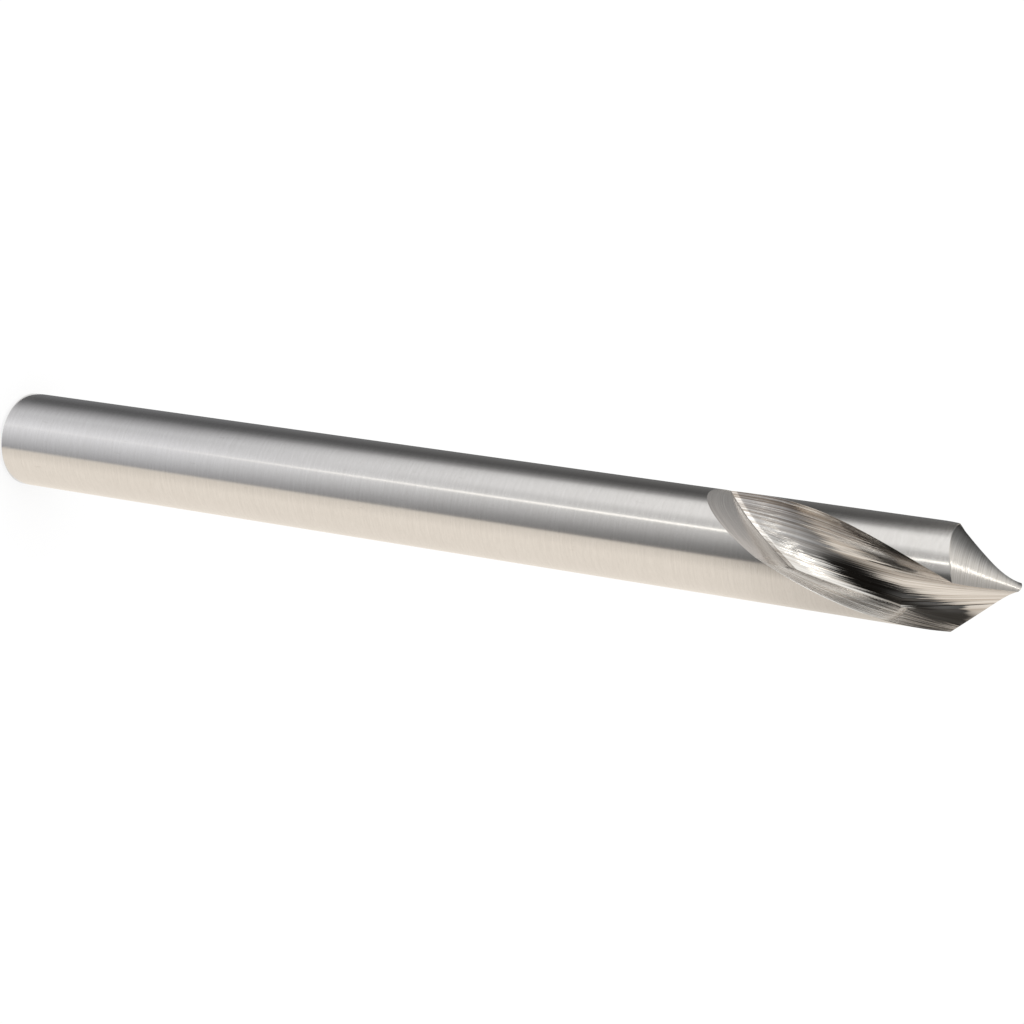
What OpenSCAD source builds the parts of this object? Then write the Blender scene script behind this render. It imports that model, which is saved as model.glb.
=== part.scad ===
// Long spotting drill, 5/8 inch body and 7 inches overall, ground from one round bar.
// Two right-hand flutes, right-hand cut, 90 degree point with conical relief.
// The drill stands on its flat shank end: origin at the centre of that face, +Z towards the point.
// Lengths are in millimetres, angles in degrees.

/* [Body] */
// Diameter of the shank and of the fluted end
body_d = 15.875; // [10:0.005:25]
// Length from the shank end to the chisel edge
overall_l = 177.8; // [120:0.1:260]
// Length of the chamfer at the shank end, along the axis
chamfer_l = 0.8; // [0.3:0.05:2]
// Depth of the chamfer at the shank end, across the radius
chamfer_depth = 0.9; // [0.3:0.05:2]
// Back taper: narrowing of the diameter from the point to the far end of the flutes
back_taper = 0.03; // [0.01:0.005:0.06]
// Length behind the flutes in which the body comes back to the shank's diameter
taper_return = 1; // [0.5:0.1:3]

/* [Flutes] */
// Length that one full turn of the helix takes
helix_lead = 127.8; // [90:0.1:200]
// Length from the chisel edge to the far end of a flute
flute_l = 48; // [36:0.5:70]
// Thickness of the web between the flutes at the chisel edge
web_tip = 1.2; // [0.8:0.05:2]
// Thickening of the web for each millimetre back from the chisel edge
web_growth = 0.1; // [0:0.005:0.12]
// Length at the far end of a flute over which the wheel eases out
ease_l = 14; // [8:0.5:20]
// Further thickening of the web for each millimetre of that length
ease_growth = 0.1; // [0:0.005:0.15]
// Radius at the bottom of a flute at the point, between the rake face and the heel wall
gullet_r = 3.5; // [2:0.1:4.5]
// Growth of that radius for each millimetre back, as the flute opens out
gullet_growth = 0.15; // [0:0.01:0.2]
// Direction of the heel wall in the cross-section, measured from the rake face
heel_angle = 124; // [112:1:132]
// Distance by which the heel wall is ground past the axis
heel_undercut = 0.45; // [0:0.05:1]
// Distance back from the chisel edge at which a steeper strip begins along the heel's edge
strip_start = 4.6; // [3:0.1:8]
// Widening of that strip, square to the heel wall, for each millimetre further back
strip_growth = 0.065; // [0.03:0.005:0.08]
// Direction of that strip in the cross-section, measured from the rake face
strip_angle = 107; // [100:1:110]
// Angle between the axis and the flat wall where the wheel stopped
end_wall_angle = 30; // [24:1:40]
// Direction that the stop wall faces, measured from the rake face
end_wall_turn = 65; // [55:1:75]

/* [Point] */
// Included angle of the two cutting lips
point_angle = 90; // [82:1:120]
// Tilt of the relief cones, which sets the clearance behind each lip
relief_tilt = 7.5; // [5:0.5:12]
// Distance of each relief cone's apex past the axis, along the line of its lip
apex_offset = 1; // [0.6:0.1:2]
// Angle from each lip's outer corner ahead to the line through the axis
lip_lead = 1; // [0:0.5:6]

/* [Hidden] */
$fn = 180;

body_r = body_d / 2;
turn_per_mm = 360 / helix_lead;
point_l = body_r / tan(point_angle / 2);
rim_angle = lip_lead + turn_per_mm * point_l;

// The cutter runs past the bar's surface by the first factor and closes at the second.
past_rim = 1.25;
outside = 1.9;

// The sweep that cuts a flute starts ahead of the point and runs past the stop wall.
sweep_ahead = 3;
sweep_past = 6;

// Number of pieces along the sweep and along each stretch of the cross-section.
sweep_steps = 64;
rake_steps = 9;
gullet_steps = 8;
wall_steps = 3;
strip_steps = 4;
outside_steps = 4;

// Shortest heel wall that is kept between the gullet and the strip.
least_wall = 0.3;

// Least height of the rake face's rim above the web.
least_rise = 0.55;

function rotated(p, a) = [p.x * cos(a) - p.y * sin(a), p.x * sin(a) + p.y * cos(a)];

// Half of the web at a distance s back from the chisel edge.
function half_web(s) =
    let (ease = max(s - flute_l + ease_l, 0))
    web_tip / 2 + web_growth / 2 * max(s, 0) + ease_growth / 2 * ease;

// Normals of the heel wall and of the strip, pointing into the flute, and their directions outward.
heel_normal = [sin(heel_angle), -cos(heel_angle)];
heel_along = [cos(heel_angle), sin(heel_angle)];
strip_normal = [sin(strip_angle), -cos(strip_angle)];
strip_along = [cos(strip_angle), sin(strip_angle)];

// Radius of the gullet and centre of its arc, which touches the rake face and the heel wall.
function gullet_radius(s) = gullet_r + gullet_growth * max(s, 0);
function gullet_centre(s) =
    let (
        radius = gullet_radius(s),
        y = half_web(s) + radius
    )
    [(radius - heel_undercut - heel_normal.y * y) / heel_normal.x, y];

// Point where the rake face leaves the bar.
function rake_rim(s) =
    let (y = max(body_r * sin(rim_angle), half_web(s) + least_rise))
    [sqrt(body_r * body_r - y * y), y];

// Rake face: a parabola from the gullet out through the rim corner and on past the rim.
function rake_curve(s) =
    let (
        from = gullet_centre(s).x,
        rim = rake_rim(s),
        rise = (rim.y - half_web(s)) / pow(rim.x - from, 2)
    )
    [for (i = [rake_steps:-1:1])
        let (x = from + (rim.x * past_rim - from) * i / rake_steps)
        [x, half_web(s) + rise * pow(x - from, 2)]];

// Width that the strip has gained at s, and the point where the strip leaves the bar.
function strip_gain(s) = strip_growth * max(s - strip_start, 0);
function strip_rim(s) =
    let (a = heel_angle - asin((strip_gain(s) - heel_undercut) / body_r))
    body_r * [cos(a), sin(a)];

// Turn of the gullet arc: as far as the heel wall, or as the strip where that comes first.
function gullet_turn(s) =
    let (
        away = (strip_rim(s) - gullet_centre(s)) * strip_normal / gullet_radius(s),
        at_strip = acos(max(-1, min(1, away))) - strip_angle
    )
    min(180 - heel_angle, at_strip);

function gullet_point(s, turn) =
    gullet_centre(s) - gullet_radius(s) * [sin(turn), cos(turn)];

// Gullet: an arc from the rake face round to the heel wall.
function gullet_curve(s) =
    [for (i = [0:gullet_steps])
        gullet_point(s, gullet_turn(s) * i / gullet_steps)];

// Heel wall: straight from the gullet to the strip, then along the strip out past the rim.
function heel_curve(s) =
    let (
        from = gullet_point(s, gullet_turn(s)),
        meet = strip_rim(s) - strip_gain(s) / sin(heel_angle - strip_angle) * strip_along,
        wall = max((meet - from) * heel_along, 0),
        start = wall > 0 ? meet : from,
        crease = start + max(least_wall - wall, 0) * strip_along,
        run = crease * strip_along,
        past = sqrt(pow(body_r * past_rim, 2) - pow(crease * strip_normal, 2))
    )
    concat(
        [for (i = [1:wall_steps]) from + (crease - from) * i / wall_steps],
        [for (i = [1:strip_steps]) crease + (past - run) * i / strip_steps * strip_along]
    );

// The cutter closes outside the bar, well clear of its surface.
function outside_curve(start, end) =
    let (
        from = atan2(start.y, start.x),
        to = atan2(end.y, end.x)
    )
    [for (i = [0:outside_steps])
        let (a = from + (to - from) * i / outside_steps)
        body_r * outside * [cos(a), sin(a)]];

function flute_section(s) =
    let (
        rake = rake_curve(s),
        heel = heel_curve(s)
    )
    concat(rake, gullet_curve(s), heel, outside_curve(heel[len(heel) - 1], rake[0]));

// The section at s turned by the helix and lifted to its height.
function flute_ring(s) =
    [for (p = flute_section(s))
        let (q = rotated(p, -turn_per_mm * s))
        [q.x, q.y, overall_l - s]];

// Solid through equal rings of points, each ring clockwise seen from the side that the rings run to.
module ring_loft(rings) {
    n = len(rings[0]);
    last = (len(rings) - 1) * n;
    sides = [
        for (k = [0:len(rings) - 2], i = [0:n - 1])
            let (
                a = k * n + i,
                b = k * n + (i + 1) % n
            )
            each [[a, a + n, b], [b, a + n, b + n]]
    ];
    caps = [
        [for (i = [0:n - 1]) i],
        [for (i = [n - 1:-1:0]) last + i]
    ];
    polyhedron([for (ring = rings) each ring], concat(sides, caps), convexity = 6);
}

// Half space ahead of the flat wall that the wheel's side leaves where its travel stops.
module ahead_of_end_wall() {
    reach = overall_l;
    drop = flute_l - body_r / tan(end_wall_angle);
    translate([0, 0, overall_l - drop])
        rotate([0, 0, end_wall_turn - turn_per_mm * flute_l])
            rotate([0, 90 - end_wall_angle, 0])
                translate([-reach / 2, -reach / 2, 0])
                    cube([reach, reach, reach / 2]);
}

module flute_cutter() {
    span = sweep_ahead + flute_l + sweep_past;
    intersection() {
        ring_loft([for (k = [0:sweep_steps]) flute_ring(span * k / sweep_steps - sweep_ahead)]);
        ahead_of_end_wall();
    }
}

// Half angle of the relief cone, so that its line along the lip keeps the point angle.
cone_half = acos(cos(relief_tilt) * cos(point_angle / 2));

// Depth of the tilted cone's surface below its apex on the drill's axis.
function cone_depth() =
    let (
        across = [apex_offset, web_tip / 2],
        square = cos(cone_half) * cos(cone_half),
        k2 = cos(relief_tilt) * cos(relief_tilt) - square,
        k1 = across.y * sin(relief_tilt) * cos(relief_tilt),
        k0 = pow(across.y * sin(relief_tilt), 2) - square * (across * across)
    )
    (k1 + sqrt(k1 * k1 - k2 * k0)) / k2;

// Solid cone whose surface is the relieved flank behind one lip.
module relief_cone() {
    length = overall_l * 1.6;
    translate([-apex_offset, web_tip / 2, overall_l + cone_depth()])
        rotate([relief_tilt, 0, 0])
            translate([0, 0, -length])
                cylinder(h = length, r1 = length * tan(cone_half), r2 = 0);
}

// Round bar with a chamfered shank end and a slight back taper along the fluted body.
module bar() {
    rotate_extrude()
        polygon([
            [0, 0],
            [body_r - chamfer_depth, 0],
            [body_r, chamfer_l],
            [body_r, overall_l - flute_l - taper_return],
            [body_r - back_taper / 2, overall_l - flute_l],
            [body_r, overall_l],
            [body_r, overall_l + 1],
            [0, overall_l + 1]
        ]);
}

module spotting_drill() {
    color("silver")
        difference() {
            intersection() {
                bar();
                relief_cone();
                rotate([0, 0, 180]) relief_cone();
            }
            flute_cutter();
            rotate([0, 0, 180]) flute_cutter();
        }
}

spotting_drill();
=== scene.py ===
# %% [markdown]
# # A long spotting drill
# A spotting drill starts holes exactly where they belong. It is ground from one round bar of
# high-speed steel: a plain shank, two short helical flutes and a stiff 90 degree point.
# This lesson first rebuilds its surfaces as fine grids, then gives each ground face its own
# finish, and last sets up the camera and the light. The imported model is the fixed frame:
# its box gives the diameter and the length that everything here follows.

import bpy
import numpy as np
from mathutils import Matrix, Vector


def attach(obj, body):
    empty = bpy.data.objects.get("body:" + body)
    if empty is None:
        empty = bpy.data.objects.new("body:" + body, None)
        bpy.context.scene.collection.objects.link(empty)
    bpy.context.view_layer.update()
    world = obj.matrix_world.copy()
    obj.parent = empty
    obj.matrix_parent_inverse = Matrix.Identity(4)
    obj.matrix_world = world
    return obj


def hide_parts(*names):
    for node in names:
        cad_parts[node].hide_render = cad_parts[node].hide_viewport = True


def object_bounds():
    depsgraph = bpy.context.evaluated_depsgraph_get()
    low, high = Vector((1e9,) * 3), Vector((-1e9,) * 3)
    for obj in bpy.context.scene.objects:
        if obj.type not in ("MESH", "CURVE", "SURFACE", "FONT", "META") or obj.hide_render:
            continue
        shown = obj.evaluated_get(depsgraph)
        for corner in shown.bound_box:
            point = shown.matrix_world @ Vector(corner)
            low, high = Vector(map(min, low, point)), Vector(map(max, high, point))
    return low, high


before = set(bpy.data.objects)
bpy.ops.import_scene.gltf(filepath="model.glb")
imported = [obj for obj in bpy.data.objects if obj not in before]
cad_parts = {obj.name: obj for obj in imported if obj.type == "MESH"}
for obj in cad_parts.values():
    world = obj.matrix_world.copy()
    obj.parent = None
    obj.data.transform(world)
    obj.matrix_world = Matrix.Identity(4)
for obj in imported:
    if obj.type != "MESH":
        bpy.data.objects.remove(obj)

cad_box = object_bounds()
MM = 0.001
body_r = cad_box[1].x / MM
overall_l = (cad_box[1].z - cad_box[0].z) / MM
print(f"body radius {body_r:.4f} mm, overall length {overall_l:.2f} mm")

# %% [markdown]
# ## The sizes of the ground end
# The box says how thick and how long the drill is, but not how it was ground. The values
# below are the ones that its maker would set on the machine, in millimetres and degrees.
# The distance s is measured back from the chisel edge, and the cross-section of a flute is
# drawn with the rake face along +X before the helix turns it.

# %% Name the sizes
chamfer_l = 0.8
chamfer_depth = 0.9
helix_lead = 127.8
flute_l = 48.0
web_tip = 1.2
web_growth = 0.1
ease_l = 14.0
ease_growth = 0.1
gullet_r = 3.5
gullet_growth = 0.15
heel_angle = 124.0
heel_undercut = 0.45
strip_start = 4.6
strip_growth = 0.065
strip_angle = 107.0
end_wall_angle = 30.0
end_wall_turn = 65.0
point_angle = 90.0
relief_tilt = 7.5
apex_offset = 1.0
lip_lead = 1.0
least_rise = 0.55
least_wall = 0.3


def sine(angle):
    """Sine of an angle in degrees."""
    return np.sin(np.radians(angle))


def cosine(angle):
    """Cosine of an angle in degrees."""
    return np.cos(np.radians(angle))


turn_per_mm = 360 / helix_lead
point_l = body_r / np.tan(np.radians(point_angle / 2))
rim_angle = lip_lead + turn_per_mm * point_l
print(f"helix {turn_per_mm:.3f} degrees a millimetre, point {point_l:.2f} mm long")

# %% [markdown]
# ## The flute's cross-section
# A flute is the path of one grinding wheel, so its cross-section has four stretches that run
# into each other: the rake face behind the cutting lip, the gullet, the heel wall, and a
# steeper strip along the heel's edge. A curve object swept along a helix could make it, but
# the web grows thicker away from the point, so the section changes all the way. A function
# of two parameters says it better: t walks along the section, one unit to a stretch, and
# s walks back along the drill.


# %% Define the section and the flute surface
def half_web(s):
    """Half of the web: it grows away from the point, and faster where the wheel eases out."""
    ease = np.maximum(s - (flute_l - ease_l), 0)
    return web_tip / 2 + web_growth / 2 * np.maximum(s, 0) + ease_growth / 2 * ease


def rake_rim(s):
    """Point where the rake face leaves the bar, always a little above the web."""
    y = np.maximum(body_r * sine(rim_angle), half_web(s) + least_rise)
    return np.sqrt(body_r**2 - y**2), y


def gullet_radius(s):
    """Radius of the gullet: the flute opens out away from the point."""
    return gullet_r + gullet_growth * np.maximum(s, 0)


def gullet_centre(s):
    """Centre of the gullet arc, one radius off the rake face and one off the heel wall."""
    radius = gullet_radius(s)
    y = half_web(s) + radius
    return (radius - heel_undercut + cosine(heel_angle) * y) / sine(heel_angle), y


def strip_gain(s):
    """Width that the strip has gained at s: nothing up to its start, and then in proportion."""
    return strip_growth * np.maximum(s - strip_start, 0)


def strip_rim(s):
    """Point where the strip leaves the bar, at the heel wall's offset plus the strip's gain."""
    angle = heel_angle - np.degrees(np.arcsin((strip_gain(s) - heel_undercut) / body_r))
    return body_r * cosine(angle), body_r * sine(angle)


def section_point(t, s):
    """Point of the section at t, from 0 at the rake's rim to 4 at the strip's rim.

    The rake is a parabola that is flat at the gullet, the gullet is an arc, and the heel
    wall and the strip are straight lines that meet in a crease.
    """
    t, s = np.broadcast_arrays(np.asarray(t, float), np.asarray(s, float))
    web = half_web(s)
    radius = gullet_radius(s)
    centre_x, centre_y = gullet_centre(s)
    rim_x, rim_y = rake_rim(s)

    rake_x = rim_x + (centre_x - rim_x) * np.clip(t, 0, 1)
    rake_y = web + (rim_y - web) * ((rake_x - centre_x) / (rim_x - centre_x)) ** 2

    out_x, out_y = strip_rim(s)
    away = (out_x - centre_x) * sine(strip_angle) - (out_y - centre_y) * cosine(strip_angle)
    at_strip = np.degrees(np.arccos(np.clip(away / radius, -1, 1))) - strip_angle
    turn = np.minimum(180 - heel_angle, at_strip)
    arc_x = centre_x - radius * sine(turn * np.clip(t - 1, 0, 1))
    arc_y = centre_y - radius * cosine(turn * np.clip(t - 1, 0, 1))

    from_x, from_y = centre_x - radius * sine(turn), centre_y - radius * cosine(turn)
    back = strip_gain(s) / sine(heel_angle - strip_angle)
    meet_x, meet_y = out_x - back * cosine(strip_angle), out_y - back * sine(strip_angle)
    wall = (meet_x - from_x) * cosine(heel_angle) + (meet_y - from_y) * sine(heel_angle)
    wall = np.maximum(wall, 0)
    spare = np.maximum(least_wall - wall, 0)
    crease_x = np.where(wall > 0, meet_x, from_x) + spare * cosine(strip_angle)
    crease_y = np.where(wall > 0, meet_y, from_y) + spare * sine(strip_angle)
    along = np.clip(t - 2, 0, 1)
    wall_x, wall_y = from_x + (crease_x - from_x) * along, from_y + (crease_y - from_y) * along
    along = np.clip(t - 3, 0, 1)
    strip_x, strip_y = crease_x + (out_x - crease_x) * along, crease_y + (out_y - crease_y) * along

    stretch = [t <= 1, t <= 2, t <= 3]
    x = np.select(stretch, [rake_x, arc_x, wall_x], strip_x)
    y = np.select(stretch, [rake_y, arc_y, wall_y], strip_y)
    return x, y


def flute_point(t, s):
    """Point of the first flute's surface: the section at s turned back by the helix."""
    x, y = section_point(t, s)
    turn = -turn_per_mm * s
    return x * cosine(turn) - y * sine(turn), x * sine(turn) + y * cosine(turn)


print(f"web {2 * half_web(0):.2f} mm at the point, {2 * half_web(flute_l):.2f} at the stop wall")

# %% [markdown]
# ## The point and the stop wall
# Each flank is part of a cone whose axis is tilted away from the drill's axis. The tilt makes
# the flank fall away behind the lip, so only the lip touches the work. At its other end the
# flute stops at a flat wall, where the side of the wheel stood still. Both surfaces have
# plain formulas, and where a flute meets them is found by halving an interval.


# %% Define the flanks, the stop wall and a root finder
cone_square = (cosine(relief_tilt) * cosine(point_angle / 2)) ** 2


def cone_fall(x, y):
    """Depth of the first relief cone's surface below its apex, over the point (x, y).

    It is the lower root of the quadratic that says: the line from the apex to the surface
    makes the cone's half angle with the cone's axis.
    """
    behind = web_tip / 2 - y
    k2 = cosine(relief_tilt) ** 2 - cone_square
    k1 = behind * sine(relief_tilt) * cosine(relief_tilt)
    k0 = (behind * sine(relief_tilt)) ** 2 - cone_square * ((x + apex_offset) ** 2 + behind**2)
    return (k1 + np.sqrt(np.maximum(k1 * k1 - k2 * k0, 0))) / k2


fall_on_axis = cone_fall(0.0, 0.0)


def flank_depth(x, y):
    """Depth of the point's surface below the chisel edge: the deeper of the two cones."""
    return np.maximum(cone_fall(x, y), cone_fall(-x, -y)) - fall_on_axis


wall_facing = end_wall_turn - turn_per_mm * flute_l
wall_drop = flute_l - body_r / np.tan(np.radians(end_wall_angle))


def ahead_of_wall(x, y, s):
    """Distance of a point ahead of the stop wall, negative behind it."""
    across = x * cosine(wall_facing) + y * sine(wall_facing)
    return cosine(end_wall_angle) * across + sine(end_wall_angle) * (wall_drop - s)


def root(function, low, high, rounds=48):
    """Where a rising function of arrays crosses zero, by halving the interval each round."""
    low, high = np.broadcast_arrays(np.asarray(low, float), np.asarray(high, float))
    for _ in range(rounds):
        middle = (low + high) / 2
        rising = function(middle) > 0
        low, high = np.where(rising, low, middle), np.where(rising, middle, high)
    return (low + high) / 2


# distances s between which the two crossings are looked for
ahead, half_way, behind_wall = -0.5, 14.0, flute_l + 6


def surface_start(t):
    """Distance s at which the flute's line t comes out of the flanks."""
    return root(lambda s: s - flank_depth(*flute_point(t, s)), ahead, half_way)


def surface_end(t):
    """Distance s at which the flute's line t runs into the stop wall."""
    return root(lambda s: -ahead_of_wall(*flute_point(t, s), s), half_way, behind_wall)


def chisel_gap(t):
    """Zero where the flute's front edge passes from one cone to the other."""
    x, y = flute_point(t, surface_start(t))
    return cone_fall(-x, -y) - cone_fall(x, y)


chisel_t = float(root(chisel_gap, 0.2, 1.9))
chisel_corner = np.array(flute_point(chisel_t, surface_start(chisel_t)))
print(f"chisel edge {2 * np.hypot(*chisel_corner):.2f} mm long, at t = {chisel_t:.3f}")

# %% [markdown]
# ## From grids to one closed mesh
# Each surface becomes a grid of points, worked out as whole arrays. Neighbouring grids share
# their edge points, so the mesh closes when equal points are merged. Every grid also brings
# its own normals: this keeps the reflections of the polished bar true and every ground edge
# crisp, which averaged normals would not.


# %% Collect grids and their normals
class Shell:
    """Grids of points that will be one mesh, each with normals, a map and a finish."""

    def __init__(self):
        self.points, self.normals, self.maps, self.faces, self.finish = [], [], [], [], []
        self.count = 0

    def add(self, points, outward, finish, flat_map, normals):
        """Add a grid of shape (rows, columns, 3), wound so that its faces look outward.

        outward holds one rough outward direction for each point. Each normal is brought to
        unit length and turned to that side.
        """
        rows, columns = points.shape[:2]
        length = np.linalg.norm(normals, axis=2, keepdims=True)
        normals = normals / np.maximum(length, 1e-12)
        normals = normals * np.sign((normals * outward).sum(axis=2, keepdims=True))
        index = np.arange(rows * columns).reshape(rows, columns)
        corners = [index[:-1, :-1], index[1:, :-1], index[1:, 1:], index[:-1, 1:]]
        quads = np.stack(corners, axis=-1).reshape(-1, 4)
        flat = points.reshape(-1, 3)
        first, second, third, fourth = (flat[quads[:, corner]] for corner in range(4))
        square = np.cross(third - first, fourth - second)
        facing = (square * outward.reshape(-1, 3)[quads].sum(axis=1)).sum(axis=1)
        quads[facing < 0] = quads[facing < 0][:, ::-1]
        self.points.append(flat)
        self.normals.append(normals.reshape(-1, 3))
        self.maps.append(flat_map.reshape(-1, 2))
        self.faces.append(quads + self.count)
        self.finish.append(np.full(len(quads), finish))
        self.count += len(flat)

    def mesh(self, name, weld=2e-4):
        """One Blender mesh: points closer than weld millimetres merged, empty faces dropped."""
        points, normals = np.concatenate(self.points), np.concatenate(self.normals)
        maps, faces = np.concatenate(self.maps), np.concatenate(self.faces)
        kept, renumbered = np.unique(merge_close(points, weld), return_inverse=True)
        made, source, slots = opened(renumbered[faces], faces, np.concatenate(self.finish))
        lengths = np.concatenate([np.full(len(block), block.shape[1]) for block in made])
        corners = np.concatenate([block.ravel() for block in made])
        sources = np.concatenate([block.ravel() for block in source])
        mesh = bpy.data.meshes.new(name)
        mesh.vertices.add(len(kept))
        mesh.vertices.foreach_set("co", (points[kept] * MM).astype(np.float32).ravel())
        mesh.loops.add(len(corners))
        mesh.loops.foreach_set("vertex_index", corners.astype(np.int32))
        mesh.polygons.add(len(lengths))
        starts = np.concatenate([[0], np.cumsum(lengths)[:-1]])
        mesh.polygons.foreach_set("loop_start", starts.astype(np.int32))
        slots = np.concatenate(slots).astype(np.int32)
        mesh.polygons.foreach_set("material_index", slots)
        mesh.update(calc_edges=True)
        layer = mesh.uv_layers.new(name="ground")
        layer.data.foreach_set("uv", maps[sources].astype(np.float32).ravel())
        mesh.polygons.foreach_set("use_smooth", np.ones(len(lengths), bool))
        mesh.normals_split_custom_set(normals[sources].astype(np.float32))
        mesh.validate(verbose=False)
        return mesh


def merge_close(points, weld):
    """For each point, the lowest index of a point in the same place, within weld.

    Points are gathered by small cubes. A second round moves the cubes by half their width,
    so that two equal points on either side of a border still meet.
    """
    cube = 8 * weld
    merged = np.arange(len(points))
    for shift in (0.0, 0.5):
        key = np.round(points[merged] / cube + shift).astype(np.int64)
        _, first, group = np.unique(key, axis=0, return_index=True, return_inverse=True)
        lowest = np.full(len(first), len(points))
        np.minimum.at(lowest, group.ravel(), merged)
        merged = lowest[group.ravel()]
    return merged


def opened(corners, faces, finish):
    """Quads and triangles from quads some of whose corners were merged.

    A quad with two neighbouring corners in one place becomes a triangle, which starts after
    the doubled corner. One that is left with fewer than three corners is dropped. The second
    result holds the old corner behind each new one, and the third each face's finish.
    """
    same = corners == np.roll(corners, -1, axis=1)
    pinched = same.any(axis=1)
    order = (same[pinched].argmax(axis=1)[:, None] + np.array([1, 2, 3])) % 4
    three = np.take_along_axis(corners[pinched], order, axis=1)
    three_faces = np.take_along_axis(faces[pinched], order, axis=1)
    real = (three != np.roll(three, -1, axis=1)).all(axis=1)
    made = [corners[~pinched], three[real]]
    source = [faces[~pinched], three_faces[real]]
    return made, source, [finish[~pinched], finish[pinched][real]]


shell = Shell()
# slots of the finishes, in the order in which they are made further on
BODY, FLUTE, FLANK, STOP, END = range(5)
print("an empty shell with five slots")

# %% [markdown]
# ## The flutes
# The grid's columns follow the lines of constant t from the flank to the stop wall. A column
# falls exactly on the chisel corner and another on the crease, so that no edge is cut off.
# Two things about the real steel are too small to model and live in the normals alone: the
# wheel rounds the flute's end into the stop wall, which draws the bright line beside it, and
# the strip along the heel leans only a little from the wall. So the last millimetre's normals
# turn towards the stop wall's, and the strip takes nine tenths of its normal from the wall.

# %% Build the flute grids
HALF_TURN = (0.0, 180.0)
side_steps = 48
stretch_steps = 16
# the rows lie closer together over the last stretch, where the normals turn
row_share = np.concatenate([np.linspace(0, 0.97, 117), np.linspace(0.97, 1, 19)[1:]])
section_t = np.concatenate([
    np.linspace(0, chisel_t, side_steps + 1),
    np.linspace(chisel_t, 2, stretch_steps + 1)[1:],
    np.linspace(2, 3, stretch_steps + 1)[1:],
    np.linspace(3, 4, stretch_steps + 1)[1:],
])
column_start, column_end = surface_start(section_t), surface_end(section_t)
flute_s = column_start + (column_end - column_start) * row_share[:, None]
flute_x, flute_y = flute_point(section_t, flute_s)


def turned(x, y, angle):
    """Points turned about the drill's axis."""
    return x * cosine(angle) - y * sine(angle), x * sine(angle) + y * cosine(angle)


def space(x, y, s):
    """Points in space from x, y and the distance s back from the chisel edge."""
    return np.stack(np.broadcast_arrays(x, y, overall_l - s), axis=-1)


def leaning(points, facing):
    """Unit normals of a grid of points, on the side that faces the given directions."""
    normals = np.cross(np.gradient(points, axis=0), np.gradient(points, axis=1))
    normals /= np.linalg.norm(normals, axis=2, keepdims=True)
    return normals * np.sign((normals * facing).sum(axis=2, keepdims=True))


middle_row = 60
column_step = np.hypot(np.diff(flute_x[middle_row]), np.diff(flute_y[middle_row]))
width = np.concatenate([[0], np.cumsum(column_step)])
flute_map = np.stack(np.broadcast_arrays(width, flute_s), axis=-1)
crease_column = int(np.argmin(np.abs(section_t - 3)))
before, strip = slice(0, crease_column + 1), slice(crease_column, None)
# a place far out through the flute's open side, which all of the flute looks towards
open_x, open_y = (9 * side for side in flute_point(1.2, flute_s[:, :1]))
# the rounding starts 1.3 mm before the stop wall and reaches its full share 0.4 mm further on
rounding_l, rounding_rise, rounding_share, strip_share = 1.3, 0.4, 0.62, 0.1
to_end = np.clip((rounding_l - column_end + flute_s) / rounding_rise, 0, 1)
to_end = rounding_share * to_end[..., None]
for angle in HALF_TURN:
    grid = space(*turned(flute_x, flute_y, angle), flute_s)
    facing = space(*turned(open_x, open_y, angle), flute_s) - grid
    facing[..., 2] = 0
    wall_normal = np.array([
        cosine(end_wall_angle) * cosine(wall_facing + angle),
        cosine(end_wall_angle) * sine(wall_facing + angle),
        sine(end_wall_angle),
    ])
    normals = leaning(grid[:, before], facing[:, before])
    eased = normals * (1 - to_end[:, before]) + wall_normal * to_end[:, before]
    shell.add(grid[:, before], facing[:, before], FLUTE, flute_map[:, before], normals=eased)
    own = leaning(grid[:, strip], facing[:, strip])
    normals = strip_share * own + (1 - strip_share) * normals[:, -1:]
    shell.add(grid[:, strip], facing[:, strip], FLUTE, flute_map[:, strip], normals=normals)
print(f"flute from s = {column_start.min():.2f} to {column_end.max():.2f} mm")

# %% [markdown]
# ## The flanks
# A flank has four sides: the lip, the chisel edge, the heel's edge and the arc on the rim.
# Blending the four edges across the middle fills it with a grid, and the cone's formula
# gives each point its exact height. The map's first direction is the distance from the
# cone's apex, because the marks run around the cone. The rim's normals lean out a little, as
# if the sharp edge had a hair-thin bevel that catches the light.

# %% Build the flanks
arc_steps = 40
start_x, start_y = flute_x[0], flute_y[0]
lip = np.stack([start_x[: side_steps + 1], start_y[: side_steps + 1]], axis=-1)[::-1]
heel = -np.stack([start_x[side_steps:], start_y[side_steps:]], axis=-1)
lip_turn = np.degrees(np.arctan2(lip[-1, 1], lip[-1, 0]))
heel_turn = np.degrees(np.arctan2(heel[-1, 1], heel[-1, 0]))
rim_turn = np.linspace(lip_turn, heel_turn, arc_steps + 1)
rim = body_r * np.stack([cosine(rim_turn), sine(rim_turn)], axis=-1)
chisel_line = np.linspace(1, -1, arc_steps + 1)[:, None] * chisel_corner
chisel_side = np.array([-chisel_corner[1], chisel_corner[0]])


def cone_gap(shift):
    """Zero where a point beside the straight chisel line lies on both cones."""
    x, y = (chisel_line + shift[:, None] * chisel_side).T
    return cone_fall(-x, -y) - cone_fall(x, y)


chisel_shift = root(cone_gap, np.full(arc_steps + 1, -0.4), np.full(arc_steps + 1, 0.4))
chisel = chisel_line + chisel_shift[:, None] * chisel_side


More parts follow.
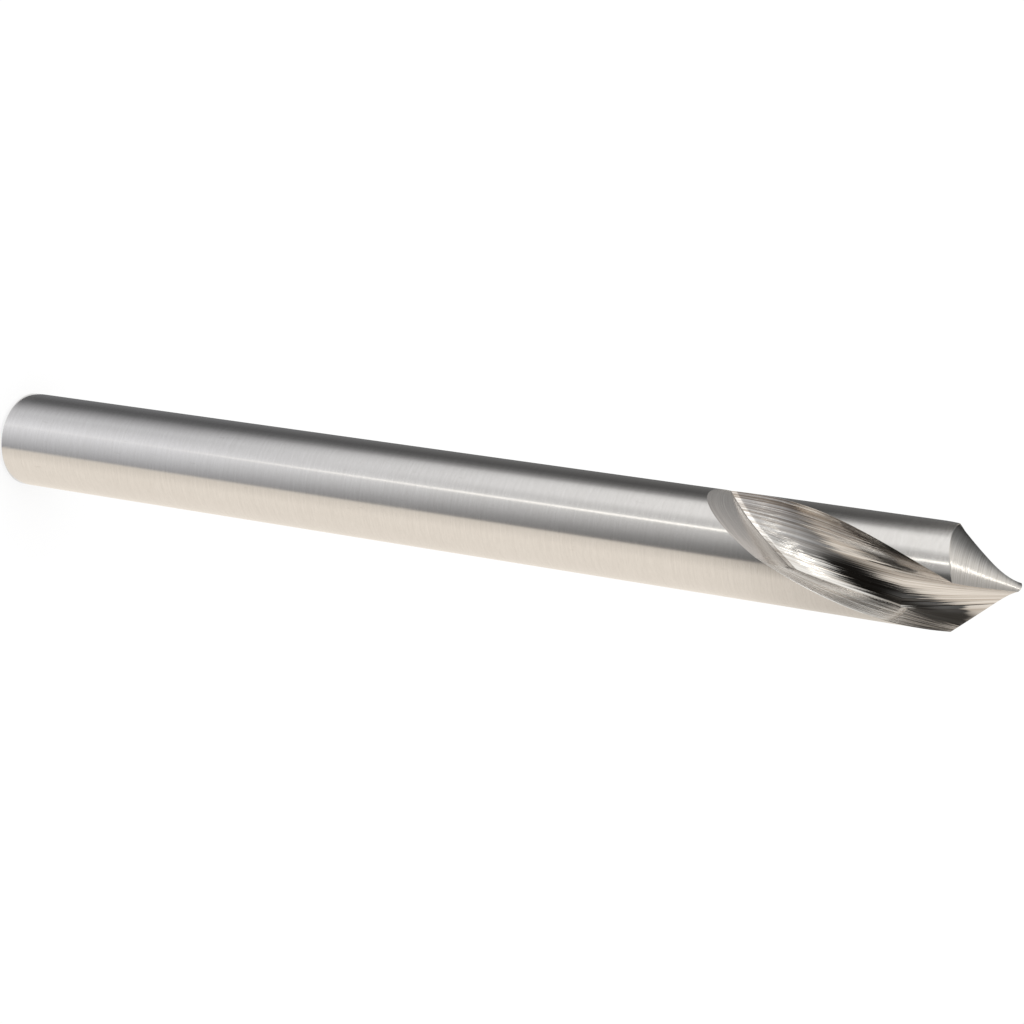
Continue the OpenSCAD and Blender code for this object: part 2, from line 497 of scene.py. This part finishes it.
def filled(side_0, side_1, end_0, end_1):
    """Grid between four edges: the two straight blends added, the corners' blend taken off."""
    u = np.linspace(0, 1, len(end_0))[None, :, None]
    v = np.linspace(0, 1, len(side_0))[:, None, None]
    sides = (1 - u) * side_0[:, None] + u * side_1[:, None]
    ends = (1 - v) * end_0[None] + v * end_1[None]
    near = (1 - u) * side_0[0] + u * side_1[0]
    far = (1 - u) * side_0[-1] + u * side_1[-1]
    return sides + ends - (1 - v) * near - v * far


flank = filled(lip, heel, chisel, rim)
flank_s = cone_fall(flank[..., 0], flank[..., 1]) - fall_on_axis
to_apex = [flank[..., 0] + apex_offset, flank[..., 1] - web_tip / 2, flank_s + fall_on_axis]
flank_map = np.stack([
    np.sqrt(sum(side**2 for side in to_apex)),
    4 * np.arctan2(flank[..., 1], flank[..., 0]),
], axis=-1)
bevel = 0.22
for angle in HALF_TURN:
    grid = space(*turned(flank[..., 0], flank[..., 1], angle), flank_s)
    up = np.broadcast_to(np.array([0.0, 0.0, 1.0]), grid.shape)
    normals = leaning(grid, up)
    outward = grid[-1] * [1 / body_r, 1 / body_r, 0]
    normals[-1] = (1 - bevel) * normals[-1] + bevel * outward
    shell.add(grid, up, FLANK, flank_map, normals=normals)
print(f"flank rim from s = {flank_s[-1].min():.2f} to {flank_s[-1].max():.2f} mm")

# %% [markdown]
# ## The stop walls
# The wall is flat, so straight rows between the crease at the flute's end and the arc that
# the wall cuts on the bar fill it exactly. A flat mirror would show one even tone, and in the
# photograph the wall goes from light to dark, so the real one is a little hollow. Its normals
# therefore swing and lean by a few degrees from one end to the other.

# %% Build the stop walls
end_x, end_y, end_s = flute_x[-1], flute_y[-1], flute_s[-1]
first_turn = np.degrees(np.arctan2(end_y[0], end_x[0]))
last_turn = np.degrees(np.arctan2(end_y[-1], end_x[-1]))
stop_turn = np.linspace(first_turn, last_turn, len(end_x))
stop_x, stop_y = body_r * cosine(stop_turn), body_r * sine(stop_turn)
stop_s = wall_drop + body_r * cosine(stop_turn - wall_facing) / np.tan(np.radians(end_wall_angle))
crescent_share = np.linspace(0, 1, 13)[:, None]
for angle in HALF_TURN:
    inner = space(*turned(end_x, end_y, angle), end_s)
    outer = space(*turned(stop_x, stop_y, angle), stop_s)
    grid = inner * (1 - crescent_share[..., None]) + outer * crescent_share[..., None]
    swing = wall_facing + angle + np.linspace(0, 9, grid.shape[1])
    lean = end_wall_angle + np.linspace(5, -1, grid.shape[1])
    facing = [cosine(lean) * cosine(swing), cosine(lean) * sine(swing), sine(lean)]
    facing = np.broadcast_to(np.stack(facing, axis=-1), grid.shape)
    wall_map = np.stack(np.broadcast_arrays(crescent_share * 5, grid[..., 2]), axis=-1)
    shell.add(grid, facing, STOP, wall_map, normals=facing)
print(f"stop wall rim from {first_turn:.1f} to {last_turn:.1f} degrees")

# %% [markdown]
# ## The lands, the shank and its end
# What is left of the bar keeps its full diameter. The lands between the flutes are filled
# like the flanks, but on the unrolled bar: one direction is the angle around it and the
# other is s. Below the flutes one ring joins both lands to the plain shank, which ends in a
# small chamfer and a flat face.


# %% Build the round surfaces
def around(turn, s):
    """Points of the bar's surface from the angle around it and s, with radial normals."""
    turn, s = np.broadcast_arrays(turn, s)
    out = np.stack([cosine(turn), sine(turn), np.zeros_like(turn)], axis=-1)
    return space(body_r * out[..., 0], body_r * out[..., 1], s), out


def bar_map(turn, s):
    """Map of the bar's surface: length around it and length along it."""
    turn, s = np.broadcast_arrays(turn, s)
    return np.stack([np.radians(turn) * body_r, s], axis=-1)


def unrolled(point, s, extra=0):
    """Edge of a flute on the unrolled bar: its angle, with an extra turn, and s."""
    turn = np.degrees(np.arctan2(point[1], point[0])) - turn_per_mm * s
    return np.stack([turn + extra, s], axis=-1)


lip_edge = unrolled(rake_rim(flute_s[:, 0]), flute_s[:, 0])
heel_edge = unrolled(section_point(4.0, flute_s[:, -1]), flute_s[:, -1], -180)
land_top = np.stack([rim_turn, flank_s[-1]], axis=-1)
land_share = np.linspace(0, 1, arc_steps + 1)[:, None]
land_bottom = lip_edge[-1] * (1 - land_share) + heel_edge[-1] * land_share
land = filled(lip_edge, heel_edge, land_top, land_bottom)
for angle in HALF_TURN:
    grid, out = around(land[..., 0] + angle, land[..., 1])
    shell.add(grid, out, BODY, bar_map(land[..., 0] + angle, land[..., 1]), normals=out)

half_loop = np.concatenate([land_bottom[::-1][:-1], np.stack([stop_turn, stop_s], axis=-1)[:-1]])
loop = np.concatenate([half_loop, half_loop + [180, 0], half_loop[:1] + [360, 0]])
ring_s, shank_rows = flute_l + 3, 60
chamfer_s = overall_l - chamfer_l
ring_share = np.linspace(0, 1, 9)[:, None]
ring = loop[:, 1] * (1 - ring_share) + ring_s * ring_share
grid, out = around(loop[:, 0], ring)
shell.add(grid, out, BODY, bar_map(loop[:, 0], ring), normals=out)
shank_s = np.linspace(ring_s, chamfer_s, shank_rows)[:, None]
grid, out = around(loop[:, 0], shank_s)
shell.add(grid, out, BODY, bar_map(loop[:, 0], shank_s), normals=out)

end_out = np.stack([cosine(loop[:, 0]), sine(loop[:, 0]), np.zeros(len(loop))], axis=-1)
chamfer_share = np.linspace(0, 1, 4)[:, None, None]
face_r = body_r - chamfer_depth
outer = space(body_r * end_out[:, 0], body_r * end_out[:, 1], chamfer_s)
inner = space(face_r * end_out[:, 0], face_r * end_out[:, 1], overall_l)
grid = outer[None] * (1 - chamfer_share) + inner[None] * chamfer_share
slope = end_out * chamfer_l - np.array([0.0, 0.0, chamfer_depth])
slope = np.broadcast_to(slope, grid.shape)
chamfer_map = np.broadcast_to(bar_map(loop[:, 0], overall_l)[None], grid.shape[:2] + (2,))
shell.add(grid, slope, BODY, chamfer_map, normals=slope)
disc_r = np.linspace(face_r, 0, 8)[:, None]
grid = space(disc_r * end_out[:, 0], disc_r * end_out[:, 1], overall_l)
down = np.broadcast_to(np.array([0.0, 0.0, -1.0]), grid.shape)
shell.add(grid, down, END, grid[..., :2], normals=down)
print(f"{sum(len(quads) for quads in shell.faces)} faces on {len(shell.faces)} grids")

# %% [markdown]
# ## One object in the frame
# All the grids become one object, because the real drill is one piece. It stands at
# the frame's origin with no turn and no scale. It rides on the frame's root and takes the place
# of the imported model's piece.

# %% Make the drill
drill = bpy.data.objects.new("ground_drill", shell.mesh("ground_drill"))
bpy.context.scene.collection.objects.link(drill)
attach(drill, "root")
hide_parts("spotting_drill")
print(f"{len(drill.data.vertices)} vertices, {len(drill.data.polygons)} faces")

# %% [markdown]
# ## Shader arithmetic
# Node trees are easier to read as formulas. A Wire holds one output socket, and its operators
# add the math node that does the sum. A Sheet is a node tree, and any other node comes from
# its node method.


# %% Define wires
class Wire:
    """One output socket, with operators that add math nodes."""

    def __init__(self, sheet, socket):
        self.sheet, self.socket = sheet, socket

    def math(self, operation, *others):
        """Add a math node whose first input is this wire."""
        return self.sheet.node("ShaderNodeMath", 0, [self, *others], operation=operation)

    def __add__(self, other):
        return self.math("ADD", other)

    __radd__ = __add__

    def __sub__(self, other):
        return self.math("SUBTRACT", other)

    # other - self, as one node: self times -1, plus other
    def __rsub__(self, other):
        return self.math("MULTIPLY_ADD", -1.0, other)

    def __mul__(self, other):
        return self.math("MULTIPLY", other)

    __rmul__ = __mul__


class Sheet:
    """The node tree of a material or of the world, emptied, with an output node."""

    def __init__(self, owner, output="ShaderNodeOutputMaterial"):
        owner.use_nodes = True
        self.owner, self.tree = owner, owner.node_tree
        self.tree.nodes.clear()
        self.output = self.tree.nodes.new(output)

    def node(self, kind, output, inputs=(), **settings):
        """Add any node: inputs as a list or by name, wires linked and values set."""
        node = self.tree.nodes.new(kind)
        for key, value in settings.items():
            setattr(node, key, value)
        pairs = inputs.items() if isinstance(inputs, dict) else enumerate(inputs)
        for key, value in pairs:
            if isinstance(value, Wire):
                self.tree.links.new(value.socket, node.inputs[key])
            else:
                node.inputs[key].default_value = value
        return Wire(self, node.outputs[output])

    def finish(self, shader):
        """Link the shader to the output and return the sheet's owner."""
        self.tree.links.new(shader.socket, self.output.inputs["Surface"])
        return self.owner


def material_sheet(name):
    """The sheet of a new material."""
    return Sheet(bpy.data.materials.new(name))


print("wires add, subtract and multiply")


# %% [markdown]
# ## The finishes
# The whole drill is one steel, and what differs is how each face was ground. Fine grooves
# all run one way on a face: around the shank, along a flute, in arcs on a flank. Each finish
# therefore stretches a noise along the grooves and lets it change the colour and the
# roughness a little, and tilt the surface through a bump. An image could carry such marks,
# but a noise stays sharp at any distance and needs no file.


# %% Define the shared parts of a finish
DARK_STEEL = (0.56, 0.54, 0.52, 1.0)
BRIGHT_STEEL = (0.76, 0.75, 0.74, 1.0)


def mixed(sheet, share, low, high):
    """Colour between two colours, by share."""
    return sheet.node("ShaderNodeMix", 2, {0: share, 6: low, 7: high}, data_type="RGBA")


def stretched(sheet, coordinates, sizes, detail=2.0):
    """Noise from 0 to 1 whose marks have the given sizes along the three coordinates."""
    scale = tuple(1 / size for size in sizes)
    inputs = {"Vector": coordinates, "Scale": scale}
    vector = sheet.node("ShaderNodeMapping", 0, inputs, vector_type="POINT")
    inputs = {"Vector": vector, "Scale": 1.0, "Detail": detail, "Roughness": 0.6}
    return sheet.node("ShaderNodeTexNoise", "Fac", inputs)


def spread(noise, amount):
    """Noise moved to lie around zero, times an amount."""
    return amount * (noise - 0.5)


def limited(sheet, value, low, high):
    """Zero at low and one at high, straight between and level beyond."""
    inputs = {"Value": value, "From Min": low, "From Max": high}
    return sheet.node("ShaderNodeMapRange", 0, inputs, clamp=True)


def ground_steel(sheet, shine, roughness, height, depth, dark=DARK_STEEL):
    """Steel whose colour follows shine, with a bump whose grooves are depth millimetres deep."""
    inputs = {"Height": height, "Strength": 1.0, "Distance": depth * MM}
    normal = sheet.node("ShaderNodeBump", 0, inputs)
    inputs = {
        "Base Color": mixed(sheet, shine, dark, BRIGHT_STEEL),
        "Metallic": 1.0,
        "Roughness": roughness,
        "Normal": normal,
    }
    return sheet.finish(sheet.node("ShaderNodeBsdfPrincipled", 0, inputs))


print("steel goes from", DARK_STEEL[:3], "to", BRIGHT_STEEL[:3])

# %% [markdown]
# ### The round body
# A centreless grinder turned the bar under its wheel, so the marks are rings. They are fine
# across and as long as the bar is round. A few faint scuffs from handling cross them.


# %% Make the round body's finish
def turned_body():
    """Shine is the sum of four noises around the bar, less the scuffs, which are rougher."""
    sheet = material_sheet("turned_body")
    place = sheet.node("ShaderNodeTexCoord", "Object")
    fine = stretched(sheet, place, (0.012, 0.012, 0.0003), 3.0)
    broad = stretched(sheet, place, (0.03, 0.03, 0.0014))
    grain = stretched(sheet, place, (0.0012, 0.0012, 0.00025))
    cloudy = stretched(sheet, place, (0.006, 0.006, 0.03))
    specks = stretched(sheet, place, (0.0007, 0.0007, 0.0035), 4.0)
    scuffs = limited(sheet, specks, 0.66, 0.74)
    shine = 0.72 + spread(fine, 0.4) + spread(grain, 0.4) + spread(broad, 0.1)
    shine = shine + spread(cloudy, 0.2) - 0.25 * scuffs
    roughness = 0.15 + spread(grain, 0.07) + spread(cloudy, 0.06) + 0.08 * scuffs
    return ground_steel(sheet, shine, roughness, fine + grain + 0.3 * broad, 0.0024)


drill.data.materials.append(turned_body())
print("rings on the round body")

# %% [markdown]
# ### The flutes
# The wheel ran the length of each flute, and its grains left long streaks of uneven depth.
# They are much coarser than the rings, and they break the reflections into light and dark
# fibres. The map named ground lies along the flute, so the streaks follow the helix. High on
# the rake side, away from the point, painted shade and a painted brown reflection darken the
# steel, and the strip along the heel's edge is less polished than the wall beside it.


# %% Make the flutes' finish
def flute_finish():
    """Shine is the sum of three noises along the flute, less the painted shade on the rake."""
    sheet = material_sheet("flute")
    place = sheet.node("ShaderNodeUVMap", 0, uv_map="ground")
    fine = stretched(sheet, place, (0.17, 30.0, 1.0), 2.0)
    coarse = stretched(sheet, place, (0.5, 50.0, 1.0))
    wide = stretched(sheet, place, (1.5, 20.0, 1.0), 1.0)
    across = sheet.node("ShaderNodeSeparateXYZ", 0, [place])
    along = sheet.node("ShaderNodeSeparateXYZ", 1, [place])
    # painted shade and a painted brown reflection, high on the rake side away from the point
    painted_shade = limited(sheet, across, 5.4, 2.6) * limited(sheet, along, 18.0, 23.0)
    shine = 0.72 + spread(fine, 2.1) + spread(coarse, 1.9) + spread(wide, 0.4) - 0.5 * painted_shade
    crease = width[crease_column]
    matt = limited(sheet, across, crease, crease + 0.15) * limited(sheet, along, 12.0, 17.0)
    roughness = 0.075 + spread(fine, 0.1) + spread(coarse, 0.06) + 0.2 * matt
    # the colour turns from dark steel to a painted brown reflection where the shade is painted
    steel_and_painted_brown = mixed(sheet, painted_shade, (0.42, 0.375, 0.33, 1.0), (0.21, 0.175, 0.145, 1.0))
    grooves = 0.35 * fine + 1.2 * coarse + 1.9 * wide
    return ground_steel(sheet, shine, roughness, grooves, 0.04, steel_and_painted_brown)


drill.data.materials.append(flute_finish())
print("streaks along the flutes")

# %% [markdown]
# ### The flanks and the stop walls
# A flank was ground with the drill rocking against a cup wheel, which leaves arcs around the
# relief cone. The stop wall has lines that run beside its crease, from the side of the wheel.
# Both maps put their marks across the first direction, so one function makes both finishes.


# %% Make the flanks' and the stop walls' finish
def lined_finish(name, fine_l, coarse_l, shine, contrast, roughness, depth):
    """Shine and roughness follow fine marks of one length, and shine coarse ones of another."""
    sheet = material_sheet(name)
    place = sheet.node("ShaderNodeUVMap", 0, uv_map="ground")
    fine = stretched(sheet, place, (0.3, fine_l, 1.0), 3.0)
    coarse = stretched(sheet, place, (0.9, coarse_l, 1.0))
    shine = shine + spread(fine, contrast) + spread(coarse, 0.6)
    return ground_steel(sheet, shine, roughness + spread(fine, 0.1), fine + coarse, depth)


drill.data.materials.append(lined_finish("flank", 14.0, 20.0, 0.74, 1.9, 0.115, 0.012))
drill.data.materials.append(lined_finish("stop_wall", 9.0, 14.0, 0.68, 1.1, 0.2, 0.01))
print("arcs on the flanks, lines on the stop walls")

# %% [markdown]
# ### The end face
# The shank's end was faced off, so its marks are rings around the centre. The distance from
# the axis is worked out from the position, and the noise runs along it.


# %% Make the end face's finish
def end_face_finish():
    """Shine and roughness follow a noise of the distance from the axis, in millimetres."""
    sheet = material_sheet("end_face")
    place = sheet.node("ShaderNodeTexCoord", "Object")
    inputs = [place, (1 / MM, 1 / MM, 0.0)]
    flat = sheet.node("ShaderNodeVectorMath", 0, inputs, operation="MULTIPLY")
    radius = sheet.node("ShaderNodeVectorMath", 1, [flat], operation="LENGTH")
    inputs = {"W": radius, "Scale": 7.0, "Detail": 3.0}
    rings = sheet.node("ShaderNodeTexNoise", "Fac", inputs, noise_dimensions="1D")
    shine, roughness = 0.6 + spread(rings, 0.7), 0.27 + spread(rings, 0.1)
    return ground_steel(sheet, shine, roughness, rings, 0.006)


drill.data.materials.append(end_face_finish())
print([material.name for material in drill.data.materials])

# %% [markdown]
# ## The camera
# The drill lies almost across the photograph, and its tip comes towards the viewer. The lens
# and the place were found by fitting the bar's outlines and the flute's edges. The picture's
# up direction is across the drill, so the camera is given its right and up directions
# directly, and the third one, backwards, is their cross product.

# %% Set up the camera
from mathutils import Matrix, Vector

right, up = Vector((-0.4628, -0.1174, 0.8786)), Vector((0.0, -0.9912, -0.1324))
camera = bpy.data.objects.new("camera", bpy.data.cameras.new("camera"))
bpy.context.scene.collection.objects.link(camera)
place = Vector((346.36, -23.79, 275.12)) * MM
turn = Matrix((right, up, right.cross(up))).transposed()
camera.matrix_world = Matrix.Translation(place) @ turn.to_4x4()
camera.data.lens, camera.data.sensor_width = 87.89, 36
bpy.context.scene.camera = camera
print("camera at", [round(v, 4) for v in camera.location])

# %% [markdown]
# ## The floor
# The photograph has a white ground with no line between floor and wall. The floor glows
# plain white for the rays that look at it, and a quarter of it stays a matt surface, so the
# drill still drops a soft shadow on it.


# %% Set up the floor
def grid_object(name, points, material):
    """An object from a grid of points of shape (rows, columns, 3), in metres."""
    rows, columns = points.shape[:2]
    index = np.arange(rows * columns).reshape(rows, columns)
    corners = [index[:-1, :-1], index[:-1, 1:], index[1:, 1:], index[1:, :-1]]
    quads = np.stack(corners, axis=-1).reshape(-1, 4)
    mesh = bpy.data.meshes.new(name)
    mesh.from_pydata(points.reshape(-1, 3).tolist(), [], quads.tolist())
    mesh.materials.append(material)
    thing = bpy.data.objects.new(name, mesh)
    bpy.context.scene.collection.objects.link(thing)
    return thing


def seen_rays(sheet):
    """One for camera, glossy and transmission rays, and zero for the rays that carry light."""
    camera_ray = sheet.node("ShaderNodeLightPath", "Is Camera Ray")
    outputs = camera_ray.socket.node.outputs
    glossy_ray = Wire(sheet, outputs["Is Glossy Ray"])
    return camera_ray + glossy_ray + Wire(sheet, outputs["Is Transmission Ray"])


def floor_finish():
    """Matt white, of which three quarters give way to a plain white glow for the eye's rays."""
    sheet = material_sheet("floor")
    matt = sheet.node("ShaderNodeBsdfDiffuse", 0, {"Color": (0.96, 0.96, 0.96, 1)})
    white = sheet.node("ShaderNodeEmission", 0, {"Color": (1, 1, 1, 1), "Strength": 1.0})
    inputs = [0.75 * seen_rays(sheet), matt, white]
    return sheet.finish(sheet.node("ShaderNodeMixShader", 0, inputs))


span = np.linspace(-4, 4, 3)
floor_x, floor_y = np.meshgrid(span, span)
floor = grid_object("floor", np.stack([floor_x, floor_y, 0 * floor_x], axis=-1), floor_finish())
print("floor", [round(v, 2) for v in floor.dimensions])

# %% [markdown]
# ## What the steel reflects
# Polished steel has hardly any colour of its own: it shows the studio. The bands along the
# body and the light and dark patches in the flute are cards around the table, so the cards
# matter as much as the metal. One shell around the drill stands for all of them: a wide
# cylinder with a lid, and a bottom just above the floor. Separate panels would do as well,
# but one shell can hold soft edges anywhere. Each of its points has a height, the angle at
# which the flutes see it, and a lift, its direction around the drill counted from the camera
# towards the picture's top.


# %% Shape the shell
def ramp(value, start, full):
    """Zero up to start and one from full on, straight between; full may be the lower one."""
    return np.clip((value - start) / (full - start), 0, 1)


def band(value, start, full, fading, end):
    """One from full to fading, zero up to start and from end on, and straight between."""
    return ramp(value, start, full) * ramp(value, end, fading)


# metres: the height of the flutes, the cylinder's radius and top, and the gap above the floor
eye, reach, top, clear = 0.155, 1.2, 1.5, 0.0002
facing_camera = np.degrees(np.arctan2(camera.location.y, camera.location.x))
lift, height = np.meshgrid(np.linspace(180, -180, 361), np.linspace(-86.8, 89.9, 190))
to_bottom = (eye - clear) / np.maximum(-sine(height), 1e-6)
to_lid = (top - eye) / np.maximum(sine(height), 1e-6)
far = np.minimum.reduce([to_bottom, reach / cosine(height), to_lid])
across = far * cosine(height)
card_turn = facing_camera - lift
card_points = np.stack([
    across * cosine(card_turn), across * sine(card_turn), eye + far * sine(height),
], axis=-1)
# a reflection leaves from the bar's surface, not from its axis, so its direction differs a
# little from that of the point it reaches; each round of the loop comes closer to it (the
# shell's top ring is closer to the axis than the surface is, so the sine is held within one)
for _ in range(6):
    bent = np.degrees(np.arcsin(np.clip(body_r * MM * sine(lift / 2) / across, -1, 1)))
    lift = facing_camera - card_turn + bent
print(f"a shell of {lift.size} points")

# %% [markdown]
# ### The cards below the flutes
# The shell is painted like a wall, and each new tone covers a part of what is there. The
# body mostly mirrors the low part of the studio. Counted from the picture's bottom edge it
# shows a warm card, a grey card in front, a pale card, and the room in shade. Tones are the
# light's strength in red, green and blue, and one is the white of the ground.

# %% Paint the low cards
near = ramp(height, -22, -70)
warm = np.array([1.04, 0.96, 0.86])
tones = warm * np.interp(lift, [-150, -60, -36], [0.97, 1.0, 0.84])[..., None]


def paint(tone, share):
    """Lay a tone over what is there, by its share; the tone may itself be an array."""
    tones[:] = tones * (1 - share[..., None]) + np.asarray(tone) * share[..., None]


far_level = np.interp(
    lift, [-30, -12, 6, 20, 40, 54, 78, 86, 95, 105, 118, 150],
    [0.18, 0.31, 0.53, 0.72, 0.73, 1.04, 1.04, 0.9, 0.38, 0.16, 0.09, 0.16])
near_level = np.interp(
    lift, [-30, 0, 20, 30, 44, 56, 66, 76, 95, 106, 120, 150],
    [0.42, 0.73, 0.93, 0.98, 0.84, 0.73, 0.71, 0.58, 0.30, 0.16, 0.12, 0.19])
level = far_level + (near_level - far_level) * near
shaded = np.interp(lift, [6, 12, 24, 36, 42, 52], [0.44, 0.53, 0.54, 0.46, 0.27, 0])
level *= 1 - shaded * ramp(height, -21, -17)
cool = np.array([1.0, 0.99, 0.975]) + np.array([0.0, 0.015, 0.06]) * near[..., None]
paint(level[..., None] * cool, ramp(lift, -34, -30))
print(f"low cards from {level.min():.2f} to {level.max():.2f}")

# %% [markdown]
# ### The cards level with the flutes
# A flute is a deep hollow mirror, so it shows much of the studio in a small space: a white
# card, a thin tube lamp that draws a fine bright line, and a black card whose dark gives the
# steel its contrast.

# %% Paint the cards level with the flutes
ROOM_BEHIND = (0.80, 0.74, 0.66)
WHITE_CARD = (1.22, 1.21, 1.17)
LIT_CARD = (1.9, 1.88, 1.84)
BLACK_CARD = (0.010, 0.009, 0.008)
paint(ROOM_BEHIND, ramp(lift, 82, 96) * ramp(height, -15, -11))
paint(WHITE_CARD, band(lift, 0, 12, 100, 130) * band(height, -17, -8, -1, 3))
paint(WHITE_CARD, band(lift, 0, 12, 74, 88) * band(height, -8, -3, 8, 12))
paint(LIT_CARD, band(lift, 80, 88, 104, 112) * band(height, -16, -10, 6, 10))
# the tube stands upright below the flutes' height and leans back above it
lean_back = lift - 26 - 0.75 * np.maximum(height + 13, 0)
tube = band(lean_back, -2, -1, 1, 2) * (1 - 0.93 * near) * ramp(height, 4, 1)
glow = 2.4 + 2.6 * ramp(height, -16, -12)[..., None]
paint(glow * np.array([1.0, 0.975, 0.92]), tube)
# the dim side of the warm card, below the black one
shade = np.interp(lift, [-64, -34], [0.72, 0.2])[..., None] * warm
paint(shade, ramp(lift, -26, -34) * band(height, -25, -20, -12, -8))
slant = 17 + 0.75 * height
side = lift - 24 * ramp(height, 1, 6)
black = ramp(lift, slant + 4, slant - 4) * ramp(side, -40, -22)
paint(BLACK_CARD, black * ramp(height, -24, -12))
print(f"the tube lamp glows at {glow.min():.1f} to {glow.max():.1f}")

# %% [markdown]
# ### The upper room
# Above the cards the room is dark behind the black card and pale overhead. The stop wall
# looks at one narrow part of it, which has tones of its own, and a thin hot line high up
# adds a glint.


# %% Paint the upper room
def tinted(level, share, plain, other):
    """A level of light between two tints, by share."""
    share = share[..., None]
    return level[..., None] * (np.array(plain) * (1 - share) + np.array(other) * share)


HOT_LINE = (3.4, 3.28, 3.05)
past = lift + 2 * (height - 14)
behind = np.interp(past, [-14, 2, 13, 18, 26], [0.055, 0.07, 0.12, 0.45, 0.68])[..., None]
paint(behind * np.array([1.0, 0.93, 0.84]), band(lift, -48, -30, 50, 62) * ramp(height, 8, 12))
upper = np.interp(
    lift, [50, 62, 72, 84, 95, 100, 105, 110, 115, 121, 130, 140],
    [0.47, 0.56, 0.7, 0.95, 0.78, 0.63, 0.51, 0.39, 0.27, 0.19, 0.12, 0.035])
upper = tinted(upper, ramp(lift, 120, 90), (1.0, 1.0, 0.985), (1.0, 0.965, 0.91))
paint(upper, ramp(lift, 56, 66) * ramp(height, 7, 11))
faced = np.interp(
    lift, [112.5, 113.5, 114.5, 116, 117.5, 120, 123],
    [0.84, 0.78, 0.64, 0.5, 0.38, 0.31, 0.28])
faced = tinted(faced, ramp(lift, 119, 113), (1.0, 0.995, 0.985), (1.0, 0.93, 0.87))
paint(faced, band(lift, 104, 109, 127, 132) * band(height, 1, 5, 15, 18))
paint(upper, ramp(height, 34, 46))
paint(HOT_LINE, band(lift, 76, 77, 79, 80) * band(height, 47, 50, 57, 60))
print(f"card tones from {tones.min():.2f} to {tones.max():.2f}")

# %% [markdown]
# ### Hanging the shell
# The tones go on the shell's points as a colour attribute, and its material glows with them.
# An image would need a map and a file. Only reflections see the shell, so it neither shows in
# the picture nor lights the floor.

# %% Hang the shell
sheet = material_sheet("cards")
tone = sheet.node("ShaderNodeAttribute", "Color", attribute_name="tone")
glowing = sheet.node("ShaderNodeEmission", 0, {"Color": tone, "Strength": 1.0})
cards = grid_object("cards", card_points, sheet.finish(glowing))
layer = cards.data.color_attributes.new("tone", "FLOAT_COLOR", "POINT")
rgba = np.concatenate([tones, np.ones(lift.shape + (1,))], axis=-1)
layer.data.foreach_set("color", rgba.astype(np.float32).ravel())
for kind in ("camera", "diffuse", "transmission", "shadow"):
    setattr(cards, "visible_" + kind, False)
print("cards", [round(v, 2) for v in cards.dimensions])

# %% [markdown]
# ## The air and the lamp
# The world is plain white and lights the floor evenly. One large soft lamp overhead draws the
# shadow, and reflections don't see it, so it leaves no glare on the steel. Standard view
# keeps the tones as they are.

# %% Set up the air and the lamp
world = bpy.data.worlds.new("studio")
bpy.context.scene.world = world
sheet = Sheet(world, "ShaderNodeOutputWorld")
sheet.finish(sheet.node("ShaderNodeBackground", 0, {"Color": (1, 1, 1, 1)}))

lamp = bpy.data.objects.new("overhead", bpy.data.lights.new("overhead", "AREA"))
lamp.data.size, lamp.data.energy = 0.7, 2.5
lamp.visible_glossy = False
bpy.context.scene.collection.objects.link(lamp)
lamp.location = (0.2, -0.3, 0.9)
aim = Vector((0, 0, overall_l * MM / 2)) - lamp.location
lamp.rotation_euler = aim.to_track_quat("-Z", "Y").to_euler()
bpy.context.scene.view_settings.view_transform = "Standard"
print("lamp at", [round(v, 2) for v in lamp.location])
